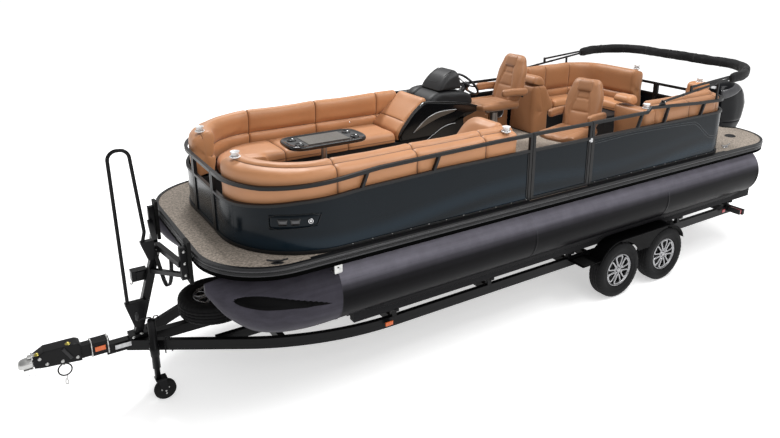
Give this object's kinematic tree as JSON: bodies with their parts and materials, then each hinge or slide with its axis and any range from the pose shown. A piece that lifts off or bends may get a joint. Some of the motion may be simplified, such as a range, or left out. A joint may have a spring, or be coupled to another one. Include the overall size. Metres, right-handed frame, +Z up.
{
  "type": "pontoon boat on a trailer",
  "caption": "Twin-tube pontoon boat with fenced deck, lounge seats, helm console, folded awning and outboard motor, parked on its tandem-axle trailer.",
  "frame": {"origin": "on the ground under the middle of the whole length and width", "axes": "+X towards the bow and the trailer coupler, +Y to port, +Z up"},
  "size_m": [10.2, 2.59, 2.7],
  "materials": {
    "tube": "semi-gloss dark painted aluminium",
    "deck_vinyl": "woven vinyl flooring",
    "deck_edge": "black powder coat with rubber rub strip",
    "mill_aluminium": "mill-finish extrusion",
    "rail_black": "satin black powder coat",
    "fence_skin": "gloss blue-grey baked paint",
    "seat_shell": "roto-moulded seat frame",
    "tan_vinyl": "soft marine vinyl",
    "table": "moulded table with a grey inlay",
    "brushed_alloy": "brushed alloy",
    "console_black": "gloss black moulding",
    "smoked_screen": "grained dark cover",
    "black_plastic": "grained black plastic",
    "canvas": "black marine canvas",
    "motor_paint": "gloss black cowl",
    "motor_metal": "black enamel",
    "steel_prop": "polished stainless blades",
    "trailer_paint": "gloss black chassis paint",
    "bunk_carpet": "marine carpet over timber",
    "galvanised": "zinc-plated steel",
    "rubber": "moulded rubber",
    "tyre": "road tyre",
    "alloy_wheel": "machined alloy with black pockets"
  },
  "bodies": {
    "boat": {"axles": "trailer_paint", "bimini_supports": "rail_black", "boarding_steps": "trailer_paint", "bow_stop": "trailer_paint", "bow_stop_pads": "rubber", "bunk_brackets": "galvanised", "chair_pedestals": "brushed_alloy", "console": "console_black", "coupler": "trailer_paint", "deck_crossmembers": "mill_aluminium", "deck_panel": "deck_vinyl", "deck_trim": "deck_edge", "fence_frames": "rail_black", "fence_panels": "fence_skin", "fenders": "trailer_paint", "instrument_hood": "smoked_screen", "jack_column": "galvanised", "lounge_back_port_aft": "tan_vinyl", "lounge_back_port_forward": "tan_vinyl", "lounge_back_starboard_aft": "tan_vinyl", "lounge_back_starboard_forward": "tan_vinyl", "lounge_bases": "seat_shell", "lounge_seat_port_aft": "tan_vinyl", "lounge_seat_port_forward": "tan_vinyl", "lounge_seat_starboard_aft": "tan_vinyl", "lounge_seat_starboard_forward": "tan_vinyl", "motor_pod": "mill_aluminium", "outboard_bracket": "motor_metal", "pontoon_brackets": "rail_black", "pontoon_port": "tube", "pontoon_starboard": "tube", "spare_wheel": "tyre", "table_leg": "brushed_alloy", "table_top": "table", "trailer_bunks": "bunk_carpet", "trailer_crossmembers": "trailer_paint", "trailer_frame": "trailer_paint", "winch_stand": "trailer_paint"},
    "bow_gate": {"bow_gate": "rail_black"},
    "side_gate": {"side_gate": "rail_black"},
    "stern_gate": {"stern_gate": "rail_black"},
    "helm_chair": {"helm_chair": "tan_vinyl"},
    "passenger_chair": {"passenger_chair": "tan_vinyl"},
    "steering_wheel": {"steering_wheel": "black_plastic"},
    "bimini_top": {"bimini_frame": "rail_black", "bimini_boot": "canvas"},
    "outboard_swivel": {"outboard_swivel": "motor_metal"},
    "outboard_motor": {"outboard_cowl": "motor_paint", "outboard_leg": "motor_metal"},
    "propeller": {"propeller": "steel_prop"},
    "jack_caster": {"jack_caster": "galvanised"},
    "jack_wheel": {"jack_wheel": "rubber"},
    "front_wheel_port": {"front_tyre_port": "tyre", "front_rim_port": "alloy_wheel"},
    "front_wheel_starboard": {"front_tyre_starboard": "tyre", "front_rim_starboard": "alloy_wheel"},
    "rear_wheel_port": {"rear_tyre_port": "tyre", "rear_rim_port": "alloy_wheel"},
    "rear_wheel_starboard": {"rear_tyre_starboard": "tyre", "rear_rim_starboard": "alloy_wheel"}
  },
  "joints": [
    {"name": "front_wheel_port_spin", "type": "hinge", "parent": "boat", "child": "front_wheel_port", "pos_m": [-1.083, 1.154, 0.349], "axis": [0, 1, 0], "continuous": true},
    {"name": "front_wheel_starboard_spin", "type": "hinge", "parent": "boat", "child": "front_wheel_starboard", "pos_m": [-1.083, -1.154, 0.349], "axis": [0, 1, 0], "continuous": true},
    {"name": "rear_wheel_port_spin", "type": "hinge", "parent": "boat", "child": "rear_wheel_port", "pos_m": [-1.914, 1.154, 0.349], "axis": [0, 1, 0], "continuous": true},
    {"name": "rear_wheel_starboard_spin", "type": "hinge", "parent": "boat", "child": "rear_wheel_starboard", "pos_m": [-1.914, -1.154, 0.349], "axis": [0, 1, 0], "continuous": true},
    {"name": "bow_gate_hinge", "type": "hinge", "parent": "boat", "child": "bow_gate", "pos_m": [3.368, -0.274, 1.8], "axis": [0, 0, 1], "range_deg": [0, 90]},
    {"name": "side_gate_hinge", "type": "hinge", "parent": "boat", "child": "side_gate", "pos_m": [0.434, 1.213, 1.9], "axis": [0, 0, 1], "range_deg": [0, 90]},
    {"name": "stern_gate_hinge", "type": "hinge", "parent": "boat", "child": "stern_gate", "pos_m": [-2.888, 0.106, 1.9], "axis": [0, 0, -1], "range_deg": [0, 90]},
    {"name": "helm_chair_swivel", "type": "hinge", "parent": "boat", "child": "helm_chair", "pos_m": [-0.62, -0.65, 1.977], "axis": [0, 0, 1], "range_deg": [-90, 90]},
    {"name": "passenger_chair_swivel", "type": "hinge", "parent": "boat", "child": "passenger_chair", "pos_m": [-0.94, 0.43, 1.787], "axis": [0, 0, 1], "continuous": true},
    {"name": "bimini_fold", "type": "hinge", "parent": "boat", "child": "bimini_top", "pos_m": [-1.555, 0, 2.355], "axis": [0, 1, 0], "range_deg": [0, 60]},
    {"name": "outboard_tilt", "type": "hinge", "parent": "boat", "child": "outboard_swivel", "pos_m": [-4.322, 0, 1.432], "axis": [0, 1, 0], "range_deg": [0, 65]},
    {"name": "outboard_steer", "type": "hinge", "parent": "outboard_swivel", "child": "outboard_motor", "pos_m": [-4.45, 0, 1.3], "axis": [0, 0, 1], "range_deg": [-30, 30]},
    {"name": "propeller_spin", "type": "hinge", "parent": "outboard_motor", "child": "propeller", "pos_m": [-4.85, 0, 0.62], "axis": [1, 0, 0], "continuous": true},
    {"name": "steering_wheel_turn", "type": "hinge", "parent": "boat", "child": "steering_wheel", "pos_m": [-0.165, -0.65, 2.385], "axis": [-0.766, 0, 0.6428], "range_deg": [-720, 720]},
    {"name": "jack_swivel", "type": "hinge", "parent": "boat", "child": "jack_caster", "pos_m": [4.036, 0.266, 0.3], "axis": [0, 0, 1], "continuous": true},
    {"name": "jack_wheel_spin", "type": "hinge", "parent": "jack_caster", "child": "jack_wheel", "pos_m": [3.986, 0.266, 0.1], "axis": [0, 1, 0], "continuous": true}
  ],
  "couplings": [
    {"joint": "steering_wheel_turn", "follows": "outboard_steer", "ratio": 24}
  ]
}
